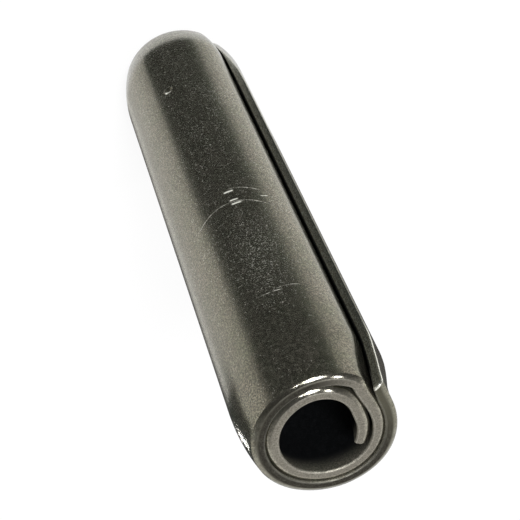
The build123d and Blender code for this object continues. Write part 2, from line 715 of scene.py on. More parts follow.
class Nodes:
    """A node tree that is filled in one call per node."""

    # A Mix node has sockets for each kind of data: these are the ones for colours.
    MIX_FACTOR, MIX_FIRST, MIX_SECOND, MIX_RESULT = 0, 6, 7, 2

    def __init__(self, tree: bpy.types.NodeTree) -> None:
        """Takes a tree, and empties it."""
        self.tree = tree
        tree.nodes.clear()

    def add(self, kind: str, inputs: Optional[dict[str | int, Value]] = None, **settings: Value
            ) -> bpy.types.Node:
        """Adds a node.

        Args:
            kind: the node's type name.
            inputs: for each input, by name or number, a socket to link or a value to set.
            settings: the node's own properties.

        Returns:
            The node.
        """
        node = self.tree.nodes.new(kind)
        for name, value in settings.items():
            setattr(node, name, value)
        for key, value in (inputs or {}).items():
            if isinstance(value, Socket):
                self.tree.links.new(value, node.inputs[key])
            else:
                node.inputs[key].default_value = value
        return node

    def group(self, tree: bpy.types.NodeTree, inputs: dict[str, Value]) -> dict[str, Socket]:
        """Places a node group with its own values, and gives its outputs by name."""
        node = self.add("ShaderNodeGroup", inputs, node_tree=tree)
        return {output.name: output for output in node.outputs}

    def math(self, operation: str, *values: Value, clamp: bool = False) -> Socket:
        """A Math node's result for one to three values."""
        return self.add("ShaderNodeMath", dict(enumerate(values)), operation=operation,
                        use_clamp=clamp).outputs[0]

    def times(self, first: Value, second: Value, clamp: bool = False) -> Socket:
        """The product of two values."""
        return self.math("MULTIPLY", first, second, clamp=clamp)

    def less(self, first: Value, second: Value, clamp: bool = False) -> Socket:
        """The first value less the second."""
        return self.math("SUBTRACT", first, second, clamp=clamp)

    def most(self, first: Value, second: Value) -> Socket:
        """The greater of two values."""
        return self.math("MAXIMUM", first, second)

    def raised(self, base: Value, value: Value, by: Value) -> Socket:
        """A base raised by a share of a value: value x by + base."""
        return self.math("MULTIPLY_ADD", value, by, base)

    def scaled(self, vector: Socket, by: tuple[float, float, float]) -> Socket:
        """A vector, with each of its numbers multiplied by its own factor."""
        return self.add("ShaderNodeVectorMath", {0: vector, 1: by}, operation="MULTIPLY").outputs[0]

    def split(self, vector: Socket) -> tuple[Socket, Socket, Socket]:
        """A vector's three numbers."""
        return tuple(self.add("ShaderNodeSeparateXYZ", {0: vector}).outputs)

    def faded(self, value: Socket, fade: Fade) -> Socket:
        """A value carried smoothly through a fade.

        Args:
            value: the value.
            fade: the fade, from start to end.

        Returns:
            The fade's low to high, held at its ends.
        """
        inputs = {"Value": value, "From Min": fade.start, "From Max": fade.end,
                  "To Min": fade.low, "To Max": fade.high}
        return self.add("ShaderNodeMapRange", inputs, interpolation_type="SMOOTHSTEP").outputs[0]

    def noise(self, vector: Socket, pattern: Pattern) -> Socket:
        """A noise pattern.

        Args:
            vector: coordinates in millimetres.
            pattern: the pattern.

        Returns:
            The noise, from 0 to 1, or the mask that the pattern's fade makes of it.
        """
        inputs = {"Vector": vector, "Scale": pattern.per_mm, "Detail": pattern.detail,
                  "Roughness": pattern.rough, "Distortion": pattern.distortion}
        noise = self.add("ShaderNodeTexNoise", inputs).outputs["Fac"]
        return self.faded(noise, pattern.fade) if pattern.fade else noise

    def mix(self, factor: Value, first: Socket | Colour, second: Socket | Colour) -> Socket:
        """Two colours mixed.

        Args:
            factor: 0 for all of the first one, and 1 for all of the second one.
            first: a socket or a plain colour.
            second: a socket or a plain colour.

        Returns:
            The colour between them.
        """
        sides = [side if isinstance(side, Socket) else (*side, 1.0) for side in (first, second)]
        inputs = {self.MIX_FACTOR: factor, self.MIX_FIRST: sides[0], self.MIX_SECOND: sides[1]}
        return self.add("ShaderNodeMix", inputs, data_type="RGBA").outputs[self.MIX_RESULT]

    def tinted(self, under: Socket | Colour, mask: Socket, share: float, colour: Colour) -> Socket:
        """A colour laid over what is under it, by a share of a mask."""
        return self.mix(self.times(mask, share), under, colour)

    def attribute(self, name: str, output: str = "Fac") -> Socket:
        """An output of one of the piece's own attributes."""
        return self.add("ShaderNodeAttribute", attribute_name=name).outputs[output]


def new_material(name: str) -> tuple[bpy.types.Material, Nodes]:
    """A material that is still to be filled.

    Args:
        name: the material's name.

    Returns:
        The material, and its empty node tree.
    """
    made = bpy.data.materials.new(name)
    made.use_nodes = True
    return made, Nodes(made.node_tree)


# ---- shader node groups --------------------------------------------------------------------------

class Kind(Enum):
    """What a group's input holds."""

    NUMBER = "NodeSocketFloat"
    VECTOR = "NodeSocketVector"


@dataclass(frozen=True)
class GroupInput:
    """A named input of a node group, with its value where nothing is linked."""

    name: str
    kind: Kind = Kind.NUMBER
    value: Optional[float] = None


PLACE = GroupInput("Place", Kind.VECTOR)                # Object coordinates, in millimetres
STRIP_PLACE = GroupInput("Strip Place", Kind.VECTOR)    # along the strip, up the pin, depth in it


class GroupNodes(Nodes):
    """The nodes of a new shader node group."""

    def __init__(self, name: str, inputs: Sequence[GroupInput]) -> None:
        """Makes the group and its inputs.

        Args:
            name: the group's name.
            inputs: its inputs.
        """
        super().__init__(bpy.data.node_groups.new(name, "ShaderNodeTree"))
        for given in inputs:
            made = self.tree.interface.new_socket(given.name, in_out="INPUT", socket_type=given.kind.value)
            if given.value is not None:
                made.default_value = given.value
        self.given = self.add("NodeGroupInput").outputs

    def give(self, **outputs: Socket) -> bpy.types.NodeTree:
        """Makes the group's outputs, all of them numbers.

        Args:
            outputs: the socket that each output carries, by the output's name.

        Returns:
            The group, which is then complete.
        """
        for name in outputs:
            self.tree.interface.new_socket(name, in_out="OUTPUT", socket_type=Kind.NUMBER.value)
        self.add("NodeGroupOutput", outputs)
        return self.tree


SMALL_GRAIN = Pattern(10.0, 2.0, 0.6)
MIDDLING_GRAIN = Pattern(4.0, 2.0)
MIDDLING_HEIGHT = 0.5
OILY_GRAINS = Pattern(9.0, 2.0, 0.7, fade=Fade(0.36, 0.64))
SPECK_NOISE = Pattern(9.5, 1.0)
SPECK_EDGE = 10.0


def fine_grain_group() -> bpy.types.NodeTree:
    """Tumbled grain: noise as a height, as dark and light grains, and as bright specks where it peaks.

    The height is small grain + share x middling grain. A speck is edge x (noise - speck level), from 0
    to 1.

    Returns:
        The group.
    """
    nodes = GroupNodes("fine_grain", [PLACE, GroupInput("Speck Level", value=0.60)])
    place = nodes.given["Place"]
    over = nodes.less(nodes.noise(place, SPECK_NOISE), nodes.given["Speck Level"])
    return nodes.give(
        Height=nodes.raised(nodes.noise(place, SMALL_GRAIN), nodes.noise(place, MIDDLING_GRAIN),
                            MIDDLING_HEIGHT),
        Grains=nodes.noise(place, OILY_GRAINS),
        Specks=nodes.times(over, SPECK_EDGE, clamp=True))


HANDLED = Pattern(0.42, 3.0, 0.6, 0.5, Fade(0.42, 0.70, high=0.75))
HANDLED_STRETCH = (1.0, 1.0, 0.30)      # drawn out along the pin
RUBBED_CORE = 1.2                       # over 1, so that the rubbed place is full all over its middle


def scuff_group() -> bpy.types.NodeTree:
    """Where handling has scuffed the finish: soft patches up the pin, and one rubbed place, 0 to 1.

    The rubbed place is core - (x / a)^2 - (z / b)^2, with x along the strip and z up the pin from its
    middle.

    Returns:
        The group.
    """
    nodes = GroupNodes("scuff", [
        PLACE, STRIP_PLACE, GroupInput("Middle"), GroupInput("Level"),
        GroupInput("Half Width", value=1.0), GroupInput("Half Length", value=1.0)])
    given = nodes.given
    patches = nodes.noise(nodes.scaled(given["Place"], HANDLED_STRETCH), HANDLED)
    along, level, _ = nodes.split(given["Strip Place"])
    across = nodes.math("DIVIDE", nodes.less(along, given["Middle"]), given["Half Width"])
    up = nodes.math("DIVIDE", nodes.less(level, given["Level"]), given["Half Length"])
    distance = nodes.math("ADD", nodes.times(across, across), nodes.times(up, up))
    return nodes.give(Scuffed=nodes.most(patches, nodes.less(RUBBED_CORE, distance, clamp=True)))


CLOUDS = Pattern(0.26, 3.0, 0.6, 0.4, Fade(0.30, 0.70))
PATCHES = Pattern(1.1, 4.0, 0.65, 0.3, Fade(0.34, 0.68))
FLECKS = Pattern(3.7, 2.0, 0.6, fade=Fade(0.42, 0.72))


def mottle_group() -> bpy.types.NodeTree:
    """Uneven oil and oxide: cloudy patches a few millimetres across, broken by smaller ones.

    Returns:
        The group.
    """
    nodes = GroupNodes("mottle", [PLACE])
    place = nodes.given["Place"]
    return nodes.give(Cloud=nodes.noise(place, CLOUDS), Patch=nodes.noise(place, PATCHES),
                      Fleck=nodes.noise(place, FLECKS))


SCORE_GAPS = Pattern(2.6, 3.0, 0.7, fade=Fade(0.42, 0.60, 1.0, 0.0))
SCORE_ENDS = 3.0                        # how steeply a score starts and ends
OUTER_SIDE_TO = 0.5                     # depths over this are on the strip's bore side


def score_group() -> bpy.types.NodeTree:
    """A thin line scored across the strip's outer side, bowed as level + bow x distance^2.

    Its strength is (1 - distance off the line / width) x ends (1 - distance from its middle / reach),
    each held from 0 to 1, and it is broken by noise.

    Returns:
        The group.
    """
    nodes = GroupNodes("score", [
        STRIP_PLACE, GroupInput("Middle"), GroupInput("Level"), GroupInput("Bow"),
        GroupInput("Reach", value=1.0), GroupInput("Off Middle"), GroupInput("Width", value=0.05),
        GroupInput("Broken", value=0.5)])
    given = nodes.given
    along, level, depth = nodes.split(given["Strip Place"])
    along = nodes.less(along, given["Middle"])
    line = nodes.math("ADD", given["Level"], nodes.times(nodes.times(along, along), given["Bow"]))
    off = nodes.math("ABSOLUTE", nodes.less(level, line))
    across = nodes.less(1.0, nodes.math("DIVIDE", off, given["Width"]), clamp=True)
    from_middle = nodes.math("ABSOLUTE", nodes.less(along, given["Off Middle"]))
    inside = nodes.less(1.0, nodes.math("DIVIDE", from_middle, given["Reach"]), clamp=True)
    ends = nodes.times(inside, SCORE_ENDS, clamp=True)
    gaps = nodes.times(nodes.noise(given["Strip Place"], SCORE_GAPS), given["Broken"])
    outer = nodes.math("LESS_THAN", depth, OUTER_SIDE_TO)
    whole = nodes.times(nodes.times(across, ends), outer)
    return nodes.give(Line=nodes.times(whole, nodes.less(1.0, gaps)))


LIP_NOISE = Pattern(1.7, 3.0, 0.6)
LIP_CONTRAST = 1.6
LIP_UNWORN = -0.45


def lip_wear_group() -> bpy.types.NodeTree:
    """Metal rubbed bright on the lips: lip x (noise x contrast + unworn), from 0 to 1."""
    nodes = GroupNodes("lip_wear", [PLACE, GroupInput("Lip")])
    kept = nodes.raised(LIP_UNWORN, nodes.noise(nodes.given["Place"], LIP_NOISE), LIP_CONTRAST)
    return nodes.give(Bare=nodes.times(nodes.given["Lip"], kept, clamp=True))


# ---- finishes ------------------------------------------------------------------------------------

@dataclass(frozen=True)
class Score:
    """A scored line on the outer turn.

    It is bowed about its middle, given by angle and level. It reaches as far each way along the strip
    from a point that is off the middle.
    """

    angle: float
    level: float
    bow: float
    reach: float
    off_middle: float
    width: float
    broken: float
    strength: float


@dataclass(frozen=True)
class SteelMasks:
    """What the steel's finish is mixed from: places on the strip, the grain's height, and masks."""

    along: Socket
    depth: Socket
    lip: Socket
    cut: Socket
    cloud: Socket
    patch: Socket
    fleck: Socket
    grains: Socket
    specks: Socket
    grain_height: Socket
    scuffed: Socket
    bare: Socket
    scored: Socket
    bore_side: Socket
    # where the bore is painted black as shade
    bore_shade_mask: Socket


@dataclass(frozen=True)
class SpringSteel:
    """Hard spring steel, dark from heat and oil, tumbled to a fine grain and handled since."""

    name: str = "spring_steel"

    steel: Colour = (0.352, 0.336, 0.268)
    olive: Colour = (0.290, 0.296, 0.218)
    rosy: Colour = (0.395, 0.340, 0.292)
    oil: Colour = (0.100, 0.098, 0.076)
    # bare metal's colour, which also paints the highlights on the outer end's corner and in the dent
    bare: Colour = (0.86, 0.86, 0.78)
    outer_face: Colour = (0.170, 0.160, 0.130)
    shaded_face: Colour = (0.048, 0.042, 0.036)
    flap_face: Colour = (0.185, 0.175, 0.130)
    inner_face: Colour = (0.500, 0.468, 0.405)
    sheared_face: Colour = (0.720, 0.730, 0.680)
    # the bore's colour is painted shade: it blackens the strip's bore side deep in the pin
    bore: Colour = (0.030, 0.032, 0.036)

    # how much of each mask shows in the colour: on the sides, on the cut faces, and on the sheared end
    olive_clouds: float = 0.80
    rosy_patches: float = 0.50
    oil_flecks: float = 0.35
    oil_grains: float = 0.95
    bare_specks: float = 0.36
    face_flecks: float = 0.45
    face_grains: float = 0.60
    face_specks: float = 0.10
    sheared_grains: float = 0.80
    bare_lips: float = 0.25

    # roughness of each part of the strip, and what patches and scuffs add to it
    roughness: float = 0.155
    lip_roughness: float = 0.12
    face_roughness: float = 0.38
    bore_roughness: float = 0.55
    patch_roughness: float = 0.05
    scuff_roughness: float = 0.04

    # how metallic it is where nothing dulls it, and what each mask takes off that
    solid_metal: float = 0.985
    scores_dull: float = 0.85
    specks_dull: float = 0.17
    grains_dull: float = 0.24
    flecks_dull: float = 0.12
    open_bore_dull: float = 0.35
    grain_power: float = 3.0            # leaves only the strongest grains

    # how deep the grain is, the share of it that is polished off the lips, and how high a score stands
    grain_depth: float = 0.008
    lip_polish: float = 0.8
    score_depth: float = 0.030

    # along the strip: its sheared end, the loose end's face, and the inner turns' paler faces
    sheared_to: float = 0.03
    flap: Fade = Fade(1.5, 7.0, 1.0, 0.0)
    inner_turns: Fade = Fade(27.5, 32.5)

    # in the strip's depth: the shaded part of the outer turn's face, and the bore side
    shaded: Fade = Fade(0.24, 0.40)
    bore_side_from: float = 0.64

    # up the pin: where specks get rarer, and where the painted shade in the bore thins out towards its
    # upper mouth
    speck_level: Fade = Fade(36.0, 47.0, 0.62, 0.69)
    scuffed_specks: float = 0.078       # how much a scuff lowers the speck level
    bore_shade_fade: Fade = Fade(48.0, 49.6, 1.0, 0.10)

    flats: Fade = Fade(0.70, 1.0)       # cut values that are rough as a flat

    # the worn corner of the strip's outer end, with a painted highlight strongest in the upper swage: along
    # the strip, in its depth, at its top, and up the pin
    corner_along: Fade = Fade(0.14, 0.24, 1.0, 0.0)
    corner_depth: Fade = Fade(0.12, 0.22, 1.0, 0.0)
    corner_top: Fade = Fade(49.62, 49.72)
    corner_wear_and_highlight: Fade = Fade(43.6, 46.0, 0.12, 0.85)

    # the place rubbed by handling: its angle and level, and half its width and length
    rubbed_at: tuple[float, float] = (106.0, 37.5)
    rubbed_half: tuple[float, float] = (1.9, 6.6)

    # angle, level, bow, reach, off_middle, width, broken, strength
    scores: tuple[Score, ...] = (
        Score(115.7, 29.75, 0.125, 3.3, 0.0, 0.065, 0.55, 0.60),
        Score(115.7, 27.98, 0.125, 1.3, 1.6, 0.060, 0.6, 0.60),
        Score(110.2, 28.35, 0.05, 0.42, 0.0, 0.15, 0.1, 1.0),
        Score(108.6, 29.55, 0.05, 0.36, 0.0, 0.13, 0.1, 1.0),
        Score(107.6, 30.05, 0.05, 0.42, 0.0, 0.15, 0.1, 1.0),
        Score(84.6, 29.70, 0.05, 0.30, 0.0, 0.08, 0.3, 0.9),
        Score(110.0, 41.20, 0.02, 0.9, 0.0, 0.045, 0.7, 0.8),
        Score(96.0, 40.90, 0.16, 0.9, 0.0, 0.050, 0.6, 0.5),
        # the last score is a bright spot in the dent: a painted highlight
        Score(125.6, 11.15, -0.5, 0.32, 0.0, 0.22, 0.0, 1.0),
    )

    def material(self, coil: Coil) -> bpy.types.Material:
        """The finish as a material.

        Args:
            coil: the coil, which gives the marks' places along the strip.

        Returns:
            A material whose patterns follow Object coordinates and the strip's own attributes.
        """
        made, nodes = new_material(self.name)
        masks = self.masks(nodes, coil)
        bump = nodes.add("ShaderNodeBump",
                         {"Strength": 1.0, "Distance": MM, "Height": self.height(nodes, masks)})
        shader = nodes.add("ShaderNodeBsdfPrincipled", {
            "Base Color": self.colour(nodes, masks), "Metallic": self.metal(nodes, masks),
            "Roughness": self.rough(nodes, masks), "Normal": bump.outputs[0]})
        nodes.add("ShaderNodeOutputMaterial", {"Surface": shader.outputs[0]})
        return made

    def masks(self, nodes: Nodes, coil: Coil) -> SteelMasks:
        """Everything that the finish is mixed from.

        Args:
            nodes: the material's nodes.
            coil: the coil.

        Returns:
            The values' sockets.
        """
        coordinates = nodes.add("ShaderNodeTexCoord").outputs["Object"]
        place = nodes.scaled(coordinates, (1.0 / MM,) * 3)
        strip_place = nodes.attribute("strip_place", "Vector")
        along, level, depth = nodes.split(strip_place)
        lip = nodes.attribute("lip")
        scuffed = nodes.group(scuff_group(), {
            "Place": place, "Strip Place": strip_place,
            "Middle": coil.place(self.rubbed_at[0]), "Level": self.rubbed_at[1],
            "Half Width": self.rubbed_half[0], "Half Length": self.rubbed_half[1]})["Scuffed"]
        speck_level = nodes.raised(nodes.faded(level, self.speck_level), scuffed, -self.scuffed_specks)
        grain = nodes.group(fine_grain_group(), {"Place": place, "Speck Level": speck_level})
        mottle = nodes.group(mottle_group(), {"Place": place})
        bore_side = nodes.math("GREATER_THAN", depth, self.bore_side_from)
        return SteelMasks(
            along=along, depth=depth, lip=lip, cut=nodes.attribute("cut"),
            cloud=mottle["Cloud"], patch=mottle["Patch"], fleck=mottle["Fleck"],
            grains=grain["Grains"], specks=grain["Specks"], grain_height=grain["Height"],
            scuffed=scuffed, bare=nodes.group(lip_wear_group(), {"Place": place, "Lip": lip})["Bare"],
            scored=nodes.most(self.scored(nodes, strip_place, coil),
                              # the scored mask also carries the outer end's worn corner, with its painted
                              # highlight
                              self.worn_and_highlit_corner(nodes, along, level, depth)),
            bore_side=bore_side,
            bore_shade_mask=nodes.times(bore_side, nodes.faded(level, self.bore_shade_fade)))

    def scored(self, nodes: Nodes, strip_place: Socket, coil: Coil) -> Socket:
        """All the scored lines as one mask.

        Args:
            nodes: the material's nodes.
            strip_place: distance along the strip, height and depth, in millimetres.
            coil: the coil.

        Returns:
            The mask.
        """
        group = score_group()
        total: Value = 0.0
        for score in self.scores:
            line = nodes.group(group, {
                "Strip Place": strip_place, "Middle": coil.place(score.angle), "Level": score.level,
                "Bow": score.bow, "Reach": score.reach, "Off Middle": score.off_middle,
                "Width": score.width, "Broken": score.broken})["Line"]
            total = nodes.most(total, nodes.times(line, score.strength))
        return total

    def worn_and_highlit_corner(self, nodes: Nodes, along: Socket, level: Socket, depth: Socket) -> Socket:
        """Where the corner of the strip's outer end is worn bright and carries a painted highlight: most of
        all in the upper swage.

        The mask is near the end x (near the outer side, or near the top) x wear and painted highlight up
        the pin.

        Args:
            nodes: the material's nodes.
            along: distance along the strip.
            level: height above the lower end.
            depth: depth in the strip.

        Returns:
            The mask.
        """
        near_end = nodes.faded(along, self.corner_along)
        corner = nodes.most(nodes.faded(depth, self.corner_depth), nodes.faded(level, self.corner_top))
        return nodes.times(nodes.times(near_end, corner), nodes.faded(level, self.corner_wear_and_highlight))

    def colour(self, nodes: Nodes, masks: SteelMasks) -> Socket:
        """Base colour: mottled sides, paler cut faces, a bright sheared end, worn edges with a painted
        highlight at the outer end's corner, and a bore painted black as shade.

        Args:
            nodes: the material's nodes.
            masks: what the finish is mixed from.

        Returns:
            The colour.
        """
        sides = nodes.tinted(self.steel, masks.cloud, self.olive_clouds, self.olive)
        sides = nodes.tinted(sides, masks.patch, self.rosy_patches, self.rosy)
        sides = nodes.tinted(sides, masks.fleck, self.oil_flecks, self.oil)
        sides = nodes.tinted(sides, masks.grains, self.oil_grains, self.oil)
        sides = nodes.tinted(sides, masks.specks, self.bare_specks, self.bare)
        face = nodes.mix(nodes.faded(masks.depth, self.shaded), self.outer_face, self.shaded_face)
        face = nodes.mix(nodes.faded(masks.along, self.flap), face, self.flap_face)
        face = nodes.mix(nodes.faded(masks.along, self.inner_turns), face, self.inner_face)
        face = nodes.tinted(face, masks.fleck, self.face_flecks, self.oil)
        face = nodes.tinted(face, masks.grains, self.face_grains, self.oil)
        face = nodes.tinted(face, masks.specks, self.face_specks, self.bare)
        sheared = nodes.tinted(self.sheared_face, masks.grains, self.sheared_grains, self.oil)
        at_end = nodes.math("LESS_THAN", masks.along, self.sheared_to)
        metal = nodes.mix(at_end, nodes.mix(masks.cut, sides, face), sheared)
        # lip wear, scores, and the worn corner's painted highlight, all in the bare colour
        worn = nodes.most(nodes.times(masks.bare, self.bare_lips), masks.scored)
        # painted shade: the bore side is blackened below its upper mouth
        return nodes.mix(masks.bore_shade_mask, nodes.mix(worn, metal, self.bare), self.bore)

    def rough(self, nodes: Nodes, masks: SteelMasks) -> Socket:
        """Roughness: uneven on the sides, smoother on the lips, matt on the flats and in the bore.

        Args:
            nodes: the material's nodes.
            masks: what the finish is mixed from.

        Returns:
            The roughness.
        """
        sides = nodes.raised(self.roughness, masks.patch, self.patch_roughness)
        sides = nodes.raised(sides, masks.scuffed, self.scuff_roughness)
        lips = nodes.raised(sides, masks.lip, nodes.less(self.lip_roughness, sides))
        flats = nodes.raised(lips, nodes.faded(masks.cut, self.flats),
                             self.face_roughness - self.lip_roughness)
        return nodes.most(nodes.times(masks.bore_side, self.bore_roughness), flats)

    def metal(self, nodes: Nodes, masks: SteelMasks) -> Socket:
        """How metallic it is: less in scores, in the worn corner with its painted highlight, in specks,
        grains and flecks, and on the bore's bare rim.

        Args:
            nodes: the material's nodes.
            masks: what the finish is mixed from.

        Returns:
            The share of metal.
        """
        dulled = nodes.raised(nodes.times(masks.scored, self.scores_dull), masks.specks, self.specks_dull)
        grains = nodes.math("POWER", masks.grains, self.grain_power)
        dulled = nodes.raised(dulled, grains, self.grains_dull)
        dulled = nodes.raised(dulled, masks.fleck, self.flecks_dull)
        open_bore = nodes.less(masks.bore_side, masks.bore_shade_mask, clamp=True)
        dulled = nodes.raised(dulled, open_bore, self.open_bore_dull)
        dulled = nodes.times(dulled, nodes.less(1.0, masks.lip))
        return nodes.less(self.solid_metal, dulled, clamp=True)

    def height(self, nodes: Nodes, masks: SteelMasks) -> Socket:
        """Height of the surface in millimetres: the grain, nearly polished off on the lips, and scores.

        Args:
            nodes: the material's nodes.
            masks: what the finish is mixed from.

        Returns:
            The height.
        """
        depth = nodes.raised(self.grain_depth, masks.lip, -self.lip_polish * self.grain_depth)
        grain = nodes.times(masks.grain_height, depth)
        return nodes.raised(grain, masks.scored, self.score_depth)


# ---- the pin -------------------------------------------------------------------------------------

@dataclass
class SpringPin:
    """The pin: the rolled strip in its finish."""

    strip: RolledStrip = field(default_factory=RolledStrip)
    finish: SpringSteel = SpringSteel()

    def build(self) -> None:
        """Makes the strip, dresses it, hides the CAD part that it stands in for, and attaches it to the
        root body.
        """
        piece = self.strip.build()
        piece.data.materials.append(self.finish.material(self.strip.coil))
        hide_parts("coiled_spring_pin")
        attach(piece, "root")


# ---- the studio ----------------------------------------------------------------------------------

ONLOOKER = 112.0                # the side from which the camera looks at the pin
WARM_WHITE = (1.0, 0.985, 0.94)
DARK_TINT = (0.89, 0.985, 0.885)
WHITE = (1.0, 1.0, 1.0, 1.0)


def background_rays(nodes: Nodes) -> Socket:
    """The rays that see the background: from the camera, from a reflection or through glass.

    Args:
        nodes: nodes of a material or of the world.

    Returns:
        1 for such a ray, and 0 for any other.
    """
    path = nodes.add("ShaderNodeLightPath")
    seen = nodes.most(path.outputs["Is Camera Ray"], path.outputs["Is Glossy Ray"])
    return nodes.most(seen, path.outputs["Is Transmission Ray"])


def reflected_piece(name: str, points: Array, faces: list[Face], tones: Array, tint: Colour
                    ) -> bpy.types.Object:
    """A piece that only glossy rays see, with a plain glow of its own brightness at each vertex.

    Args:
        name: name of the piece and of its material.
        points: its grid of vertices.
        faces: its faces.
        tones: the brightness at each vertex, from 0 to 1.
        tint: the glow's colour at 1.

    Returns:
        The piece.
    """
    made = new_object(name, points, faces)
    add_values(made, "tone", tones)
    glowing, nodes = new_material(name)
    tone = nodes.mix(nodes.attribute("tone"), (0.0, 0.0, 0.0), tint)
    glow = nodes.add("ShaderNodeEmission", {"Color": tone, "Strength": 1.0})
    nodes.add("ShaderNodeOutputMaterial", {"Surface": glow.outputs[0]})
    made.data.materials.append(glowing)
    for kind in ("camera", "diffuse", "transmission", "volume_scatter", "shadow"):
        setattr(made, f"visible_{kind}", False)
    return made


@dataclass(frozen=True)
class Floor:
    """A plain white floor that keeps the pin's shadow."""

    radius: float = 3000.0
    middle_radius: float = 0.5
    rings: int = 14
    sides: int = 72
    colour: float = 0.90
    whiteness: float = 0.86         # share of full white where the background is seen

    def build(self) -> bpy.types.Object:
        """A round sheet at height 0: (r cos a, r sin a, 0), in rings that get wider outwards.

        Returns:
            The floor, in its finish.
        """
        radius = self.radius * np.linspace(0.0, 1.0, self.rings) ** 2 + self.middle_radius
        plan = polar(radius[:, None], np.linspace(0.0, FULL_TURN, self.sides + 1)[None, :-1])
        faces = grid_faces(self.rings, self.sides, closed=True, flipped=True)
        made = new_object("floor", with_height(plan, 0.0), [*faces, tuple(range(self.sides))])
        made.data.materials.append(self.material())
        return made

    def material(self) -> bpy.types.Material:
        """Matt white, most of it at full white where the background is seen.

        Returns:
            The material.
        """
        made, nodes = new_material("floor_white")
        factor = nodes.times(background_rays(nodes), self.whiteness)
        matt = nodes.add("ShaderNodeBsdfDiffuse", {"Color": (self.colour,) * 3 + (1.0,)})
        white = nodes.add("ShaderNodeEmission", {"Color": WHITE, "Strength": 1.0})
        mixed = nodes.add("ShaderNodeMixShader", {0: factor, 1: matt.outputs[0], 2: white.outputs[0]})
        nodes.add("ShaderNodeOutputMaterial", {"Surface": mixed.outputs[0]})
        return made


@dataclass(frozen=True)
class ReflectorCard:
    """A card that only the steel's reflections see, lying just over the floor and then rising.

    Its edges are the lines on which the pin's wall mirrors the floor at two angles of the wall: from the
    wall at angle a, towards 2a - c, with c the onlooker's side. It starts where it is clear of the pin.
    Its tones go from edge to edge, each given as the wall's angle and the brightness mirrored there. A
    brightness over 1 shows as 1, and is reached sooner from the tones beside it.
    """

    name: str
    tones: tuple[tuple[float, float], ...]
    reach: float
    rise: float = 0.0
    rise_from: float = 0.1          # share of the rise at its first row
    wall_radius: float = 5.3
    clear_radius: float = 5.8
    lies_at: float = 0.35
    tint: Colour = WARM_WHITE
    across_steps: int = 49
    floor_steps: int = 14
    rise_steps: int = 8

    def build(self) -> bpy.types.Object:
        """The card's surface: wall point(u) + x (cos b, sin b), with b going from edge to edge.

        Returns:
            The card, with its tones.
        """
        angles, levels = np.array(self.tones).T
        wall = np.linspace(angles[0], angles[-1], self.across_steps)
        edge = polar(self.wall_radius, angles[[0, -1]])
        u = np.linspace(0.0, 1.0, self.across_steps)[:, None]
        start = edge[0] * (1.0 - u) + edge[1] * u
        way = polar(1.0, 2.0 * wall - ONLOOKER)
        on_way = np.sum(start * way, axis=-1, keepdims=True)
        off_axis = np.sum(start**2, axis=-1, keepdims=True)
        clear = np.sqrt(on_way**2 - off_axis + self.clear_radius**2) - on_way
        out = np.linspace(0.0, 1.0, self.floor_steps) ** 2 * self.reach
        up = np.full(self.floor_steps, self.lies_at)
        if self.rise > 0.0:
            out = np.r_[out, np.full(self.rise_steps, self.reach)]
            up = np.r_[up, np.linspace(self.rise_from, 1.0, self.rise_steps) * self.rise + self.lies_at]
        plan = start[:, None] + (clear[:, None] + out[None, :, None]) * way[:, None]
        order = np.argsort(angles)
        tones = np.repeat(np.interp(wall, angles[order], levels[order]), len(out))
        faces = grid_faces(self.across_steps, len(out), closed=False)
        return reflected_piece(self.name, with_height(plan, up), faces, tones, self.tint)


@dataclass(frozen=True)
class Tent:
    """The room over the pin as only the steel's reflections see it: a dome, bright near the floor.

    Its tone goes from low to high as the elevation passes a band, and low itself is brighter round the
    bright side than elsewhere. Towards the onlooker all of it fades to front, but for the crown.
    """

    radius: float = 900.0
    low: float = 0.24
    bright_low: float = 0.95
    bright_side: float = 292.0
    bright_reach: float = 100.0
    bright_fade: float = 45.0
    high: float = 0.36
    dims_from: float = 22.0
    dims_over: float = 22.0
    front: float = 0.09
    front_reach: float = 72.0
    front_fade: float = 50.0
    crown: float = 0.5
    crown_from: float = 84.0
    crown_over: float = 6.0
    rings: tuple[float, float, int] = (0.3, 88.0, 45)   # first and last elevation, and how many rings
    top: float = 89.9
    sides: int = 96
    tint: Colour = WARM_WHITE

    def tone(self, elevation: Array, azimuth: Array) -> Array:
        """The dome's brightness.

        Args:
            elevation: angles above the floor, one per ring.
            azimuth: angles round the pin, one per side.

        Returns:
            A grid of tones from 0 to 1.
        """
        up = ease((elevation - self.dims_from) / self.dims_over)
        bright = ease((self.bright_reach - turned_from(azimuth, self.bright_side)) / self.bright_fade)
        low = self.low + (self.bright_low - self.low) * bright
        open_side = ease((turned_from(azimuth, ONLOOKER) - self.front_reach) / self.front_fade)
        crown = self.crown * ease((elevation - self.crown_from) / self.crown_over)
        return self.front + (low + (self.high - low) * up - self.front) * np.maximum(open_side, crown)

    def build(self) -> bpy.types.Object:
        """The dome: radius (cos e cos a, cos e sin a, sin e), facing inwards.

        Returns:
            The dome, with its tones.
        """
        elevation = np.r_[np.linspace(*self.rings), self.top][:, None]
        azimuth = np.linspace(0.0, FULL_TURN, self.sides + 1)[None, :-1]
        plan = polar(self.radius * np.cos(np.radians(elevation)), azimuth)
        points = with_height(plan, self.radius * np.sin(np.radians(elevation)))
        faces = grid_faces(len(elevation), self.sides, closed=True, flipped=True)
        return reflected_piece("tent", points, faces, self.tone(elevation, azimuth), self.tint)


